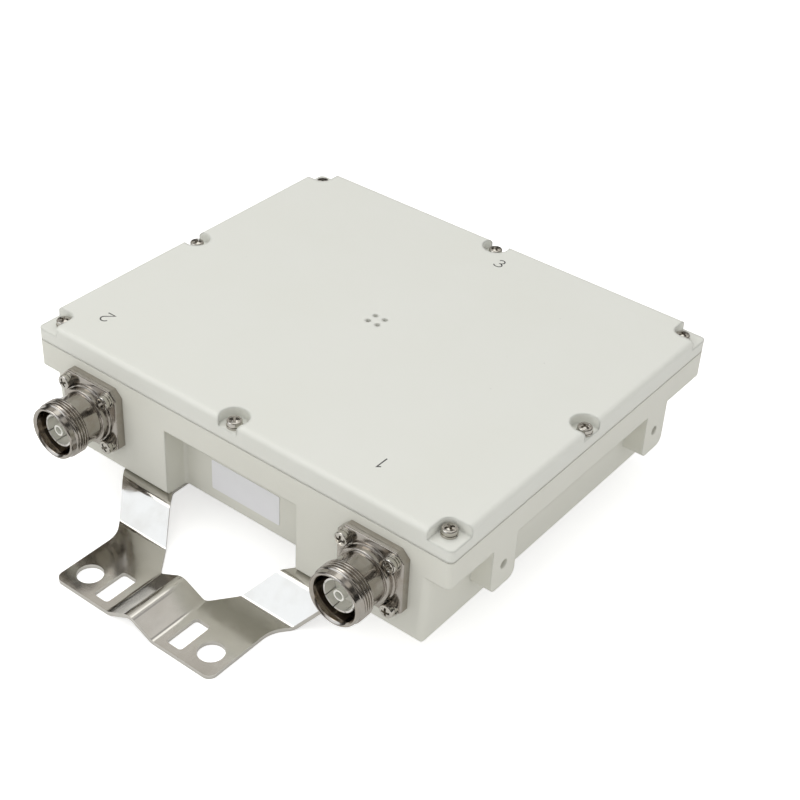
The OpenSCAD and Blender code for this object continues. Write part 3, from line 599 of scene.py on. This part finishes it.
# Radii and depth of the mouth faces that take the painted shade material
SHADE_IN_R, SHADE_OUT_R, SHADE_FROM = 6.0, 8.06, 0.3


def scalloped(theta, radius, centres, scallop):
    """Radius of the boss along a ray, cut back round each screw."""
    u = Vector((math.cos(theta), math.sin(theta)))
    best = radius
    for c in centres:
        along = c.dot(u)
        d = scallop**2 - c.length_squared + along**2
        if d > 0 and along > 0:
            best = min(best, along - math.sqrt(d))
    return best


def thread_profile(phase):
    """Height of a cut thread from 0 at the root to 1 at the crest, over one pitch."""
    t = phase % 1
    if t < ROOT:
        return 0
    if t < ROOT + FLANK:
        return (t - ROOT) / FLANK
    if t < 1 - FLANK:
        return 1
    return (1 - t) / FLANK


def barrel_radius(r, z, a):
    """Radius of the barrel, with the thread cut where its outline has the thread's radius."""
    if r != THREAD_R:
        return r
    run = min(1, (z - THREAD_LOW) / END_FADE, (THREAD_HIGH - z) / END_FADE)
    cut = THREAD_DEPTH * (1 - thread_profile(z / PITCH - a / TAU))
    return THREAD_R - max(cut, END_CUT * (1 - max(run, 0)))


def barrel_profile():
    """Outline from the foot over collar, neck, thread, bead and nose into the mouth and its bore."""
    thread_l = THREAD_HIGH - THREAD_LOW
    line = [(NECK_R, FOOT_Z), (NECK_R, 4.25), (9.7, 4.3), (9.92, 4.33), (COLLAR_R, 4.4), (COLLAR_R, 6.15)]
    line += [(9.94, 6.32), (9.86, 6.46), (9.74, 6.56), (9.6, 6.6), (9.08, 6.62)]
    line += [(NECK_R, 6.7), (NECK_R, 12.7), (9.06, 12.85), (9.5, THREAD_LOW)]
    line += [(THREAD_R, THREAD_LOW + thread_l * k / THREAD_STEPS) for k in range(THREAD_STEPS + 1)]
    line += [(9.6, 17.06), (9.52, 17.12), (9.52, 17.18), (9.64, 17.22), (9.88, 17.25), (9.97, 17.32)]
    line += [(9.98, 17.44), (9.95, 17.58), (9.88, 17.72), (9.77, 17.85), (9.64, 17.95), (9.54, 18.02)]
    line += [(9.49, 18.1), (NOSE_R, 18.2), (NOSE_R, 19.7), (9.44, 19.9), (9.37, 20.08)]
    line += [(9.25, 20.24), (9.08, 20.35), (8.86, 20.4), (8.7, 20.35)]
    line += [(8.05, 19.72), (MOUTH_R, 19.6), (MOUTH_R, 9.2), (7.9, SEAT_Z), (6.1, SEAT_Z)]
    line += [(SLEEVE_GAP_R, 8.9), (SLEEVE_GAP_R, FOOT_Z)]
    return line


def flange(bm):
    """Square plate with cut corners and a rounded outer edge."""
    h, c = FLANGE_HALF, FLANGE_FLAT
    outline = [(h, -c), (h, c), (c, h), (-c, h), (-h, c), (-h, -c), (-c, -h), (c, -h)]
    high = prism(bm, outline, 0, FLANGE_T)
    top_edges = [e for e in bm.edges if all(v in high for v in e.verts)]
    round_edges(bm, top_edges, FLANGE_EDGE, 2)


def boss(bm):
    """Low round boss, cut back round the screws, with a rounded rim."""
    screws = [Vector((sx * SCREW_AT, sy * SCREW_AT)) for sx in (-1, 1) for sy in (-1, 1)]
    angles = [TAU * k / BOSS_STEPS for k in range(BOSS_STEPS)]
    radii = [scalloped(a, BOSS_R, screws, SCALLOP_R) for a in angles]
    rows = []
    for shrink, z in BOSS_ROWS:
        row = []
        for a, radius in zip(angles, radii):
            r = radius - shrink
            row.append(vertex(bm, r * math.cos(a), r * math.sin(a), z))
        rows.append(row)
    join_rings(bm, rows)


def paint_bore_shade(obj, middle, face):
    """Gives the painted shade material to the faces between the sleeve and the wall of the mouth."""
    inner = Vector((middle.x, middle.z))
    for poly in obj.data.polygons:
        reach = (Vector((poly.center.x, poly.center.z)) - inner).length
        deep = abs(poly.center.y - face)
        in_mouth = SHADE_IN_R * MM < reach < SHADE_OUT_R * MM and deep > SHADE_FROM * MM
        poly.material_index = 1 if in_mouth else 0


def shell_piece(i):
    """Flange, boss and barrel of port i in place of its CAD shell."""
    node = f"port_{i}_shell"
    lo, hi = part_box(node)
    lo, hi = Vector(lo), Vector(hi)
    middle = (lo + hi) / 2
    side = 1 if i == REAR_PORT else -1
    face = lo.y if i == REAR_PORT else hi.y
    bm = bmesh.new()
    flange(bm)
    boss(bm)
    lathe(bm, barrel_profile(), BARREL_STEPS, barrel_radius)
    turn = Matrix(((-side, 0, 0), (0, 0, side), (0, 1, 0))).to_4x4()
    bm.transform(Matrix.Translation((middle.x, face, middle.z)) @ turn)
    obj = new_object(f"port_{i}_body", bm, PLATING, 32)
    # Second material: painted shade for the wall inside the mouth
    obj.data.materials.append(PAINTED_BORE_SHADE)
    paint_bore_shade(obj, middle, face)
    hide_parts(node)
    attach(obj, "root")


for port in (1, 2, 3):
    shell_piece(port)


# Printed port numbers

lid_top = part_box("lid")[1][2]
STROKE_W = 0.5
INK_LIFT = 0.012


def bow(cx, cy, rx, ry, start, end, steps=14):
    """Points of an elliptical arc between two angles in degrees."""
    turns = [math.radians(start + (end - start) * k / steps) for k in range(steps + 1)]
    return [Vector((cx + rx * math.cos(a), cy + ry * math.sin(a))) for a in turns]


def stroke(bm, points, width):
    """Flat line of even width along the points."""
    rows = []
    for k, p in enumerate(points):
        before = (p - points[k - 1]).normalized() if k else None
        after = (points[k + 1] - p).normalized() if k + 1 < len(points) else None
        way = ((before or after) + (after or before)).normalized()
        side = Vector((-way.y, way.x)) * width / 2
        side /= max(0.5, way.dot(after or before))
        rows.append([vertex(bm, q.x, q.y, 0) for q in (p - side, p + side)])
    for a, b in zip(rows, rows[1:]):
        bm.faces.new((a[0], b[0], b[1], a[1]))


DIGITS = {
    1: [Vector((-1.05, 4.25)), Vector((0, 5.1)), Vector((0, 0))],
    2: bow(0, 3.55, 1.5, 1.45, 168, -28) + [Vector((-1.65, 0.2)), Vector((1.65, 0.2))],
    3: bow(0, 3.8, 1.25, 1.2, 155, -90) + bow(0, 1.35, 1.6, 1.25, 90, -158),
}
PORT_MARKS = ((1, 49.3, -56.2, math.pi), (2, -70.7, -56.1, math.pi), (3, 8.4, 59.1, 0))


def port_mark(digit, x, y, turn):
    """A digit printed on the lid at x, y in millimetres and turned by an angle."""
    bm = bmesh.new()
    stroke(bm, DIGITS[digit], STROKE_W)
    bmesh.ops.recalc_face_normals(bm, faces=bm.faces)
    if bm.faces[0].normal.z < 0:
        bmesh.ops.reverse_faces(bm, faces=bm.faces)
    place = Matrix.Translation((x * MM, y * MM, lid_top + INK_LIFT * MM))
    bm.transform(place @ Matrix.Rotation(turn, 4, "Z"))
    obj = new_object(f"mark_{digit}", bm, INK)
    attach(obj, "root")


for mark in PORT_MARKS:
    port_mark(*mark)


# Floor, backdrop and light

FLOOR_R, FLOOR_STEPS = 5, 64
FLOOR_COLOR = (0.82, 0.82, 0.81, 1)
FLOOR_GLOW = (("Is Camera Ray", 0.6), ("Is Glossy Ray", 0.12), ("Is Transmission Ray", 0.6))
ROOM_BELOW, ROOM_ABOVE = (0.55, 0.53, 0.5, 1), (0.5, 0.51, 0.53, 1)
ROOM_LEVELS = ((0.47, 0.3), (0.52, 0.05), (0.62, 0.06), (0.70, 0.35), (0.80, 0.55), (0.88, 0.8))
PANEL_SCALE = 2.2
PANEL_RANGE = (0.42, 0.56, 0.12, 1.25)
ROOM_PATCHES = (
    ((-0.475, -0.70, 0.537), 0.93, 0.85, (1.5, 1.58, 1.7, 1)),
    ((-0.46, -0.32, 0.83), 0.985, 0.96, (3.2, 3.2, 3.15, 1)),
    ((-0.3, 0.41, 0.86), 0.990, 0.968, (1.6, 1.6, 1.56, 1)),
)
MATT_LEVEL = (0.58, 0.58, 0.58, 1)
WHITE = (1.0, 1.0, 1.0, 1)
LAMPS = (
    ("top_light", (-0.25, 0.1, 1.1), (1.0, 1.0), 3.65, (1.0, 1.0, 1.0)),
    ("front_light", (-0.65, -0.85, 0.62), (1.2, 0.8), 3.4, (1.0, 0.995, 0.985)),
    ("fill_light", (0.55, -0.8, 0.8), (0.8, 0.8), 1.5, (1.0, 0.995, 0.98)),
    ("right_light", (1.1, 0.1, 0.45), (0.6, 0.5), 0.8, (1.0, 0.98, 0.95)),
)


def pale_floor():
    """Pale matt floor that takes the shadow, and glows for the camera and a little in reflections."""
    mat = bpy.data.materials.new("floor")
    mat.use_nodes = True
    tree = mat.node_tree
    tree.nodes.clear()
    out = add_node(tree, "ShaderNodeOutputMaterial")
    diffuse = add_node(tree, "ShaderNodeBsdfDiffuse")
    diffuse.inputs["Color"].default_value = FLOOR_COLOR
    glow = add_node(tree, "ShaderNodeEmission")
    path = add_node(tree, "ShaderNodeLightPath")
    both = add_node(tree, "ShaderNodeAddShader")
    total = None
    for ray, strength in FLOOR_GLOW:
        seen = add_node(tree, "ShaderNodeMath", operation="MULTIPLY_ADD")
        seen.inputs[1].default_value = strength
        seen.inputs[2].default_value = 0
        tree.links.new(path.outputs[ray], seen.inputs[0])
        if total:
            tree.links.new(total, seen.inputs[2])
        total = seen.outputs[0]
    tree.links.new(total, glow.inputs["Strength"])
    tree.links.new(diffuse.outputs[0], both.inputs[0])
    tree.links.new(glow.outputs[0], both.inputs[1])
    tree.links.new(both.outputs[0], out.inputs["Surface"])
    bm = bmesh.new()
    turns = [TAU * k / FLOOR_STEPS for k in range(FLOOR_STEPS)]
    bm.faces.new([bm.verts.new((FLOOR_R * math.cos(a), FLOOR_R * math.sin(a), 0)) for a in turns])
    floor = new_object("floor", bm, mat)


def softbox(name, place, size, power, color):
    """Lamp aimed at the object, which shows in no reflection."""
    data = bpy.data.lights.new(name, "AREA")
    data.shape = "RECTANGLE"
    data.size, data.size_y = size
    data.energy = power
    data.color = color
    obj = bpy.data.objects.new(name, data)
    obj.location = place
    obj.rotation_euler = (-Vector(place)).to_track_quat("-Z", "Y").to_euler()
    obj.visible_glossy = False
    bpy.context.scene.collection.objects.link(obj)


def studio_world():
    """White backdrop and even pale light; metal reflects a room with panels and three bright patches."""
    world = bpy.data.worlds.new("studio")
    world.use_nodes = True
    tree = world.node_tree
    tree.nodes.clear()

    def add(kind, **settings):
        return add_node(tree, kind, **settings)

    def mix(a, b, factor, blend="MIX"):
        node = add("ShaderNodeMix", data_type="RGBA", blend_type=blend)
        for socket, value in (("A", a), ("B", b), ("Factor", factor)):
            if isinstance(value, (tuple, float)):
                node.inputs[socket].default_value = value
            else:
                tree.links.new(value, node.inputs[socket])
        return node.outputs["Result"]

    out = add("ShaderNodeOutputWorld")
    back = add("ShaderNodeBackground")
    path = add("ShaderNodeLightPath")
    place = add("ShaderNodeTexCoord").outputs["Generated"]
    split = add("ShaderNodeSeparateXYZ")
    tree.links.new(place, split.inputs[0])
    height = add("ShaderNodeMapRange")
    height.inputs["From Min"].default_value = -1
    tree.links.new(split.outputs["Z"], height.inputs["Value"])
    ramp = add("ShaderNodeValToRGB")
    tree.links.new(height.outputs["Result"], ramp.inputs["Fac"])
    stops = ramp.color_ramp.elements
    stops[0].position, stops[0].color = 0.0, ROOM_BELOW
    stops[1].position, stops[1].color = 1.0, ROOM_ABOVE
    for at, level in ROOM_LEVELS:
        stop = stops.new(at)
        stop.color = (level, level * 0.97, level * 0.92, 1)
    waves = add("ShaderNodeTexNoise")
    waves.inputs["Scale"].default_value = PANEL_SCALE
    waves.inputs["Detail"].default_value = 1
    tree.links.new(place, waves.inputs["Vector"])
    panels = add("ShaderNodeMapRange")
    for key, value in zip(("From Min", "From Max", "To Min", "To Max"), PANEL_RANGE):
        panels.inputs[key].default_value = value
    tree.links.new(waves.outputs["Fac"], panels.inputs["Value"])
    room = mix(ramp.outputs["Color"], panels.outputs["Result"], 1.0, "MULTIPLY")
    for way, inner, outer, color in ROOM_PATCHES:
        near = add("ShaderNodeVectorMath", operation="DOT_PRODUCT")
        near.inputs[1].default_value = Vector(way).normalized()
        tree.links.new(place, near.inputs[0])
        patch = add("ShaderNodeMapRange", interpolation_type="SMOOTHSTEP")
        patch.inputs["From Min"].default_value = outer
        patch.inputs["From Max"].default_value = inner
        tree.links.new(near.outputs["Value"], patch.inputs["Value"])
        room = mix(room, color, patch.outputs["Result"])
    seen = mix(MATT_LEVEL, room, path.outputs["Is Glossy Ray"])
    clear = add("ShaderNodeMath", operation="MAXIMUM")
    tree.links.new(path.outputs["Is Camera Ray"], clear.inputs[0])
    tree.links.new(path.outputs["Is Transmission Ray"], clear.inputs[1])
    shown = mix(seen, WHITE, clear.outputs[0])
    tree.links.new(shown, back.inputs["Color"])
    tree.links.new(back.outputs[0], out.inputs["Surface"])
    bpy.context.scene.world = world


pale_floor()
studio_world()
for lamp in LAMPS:
    softbox(*lamp)
bpy.context.scene.view_settings.view_transform = "Standard"
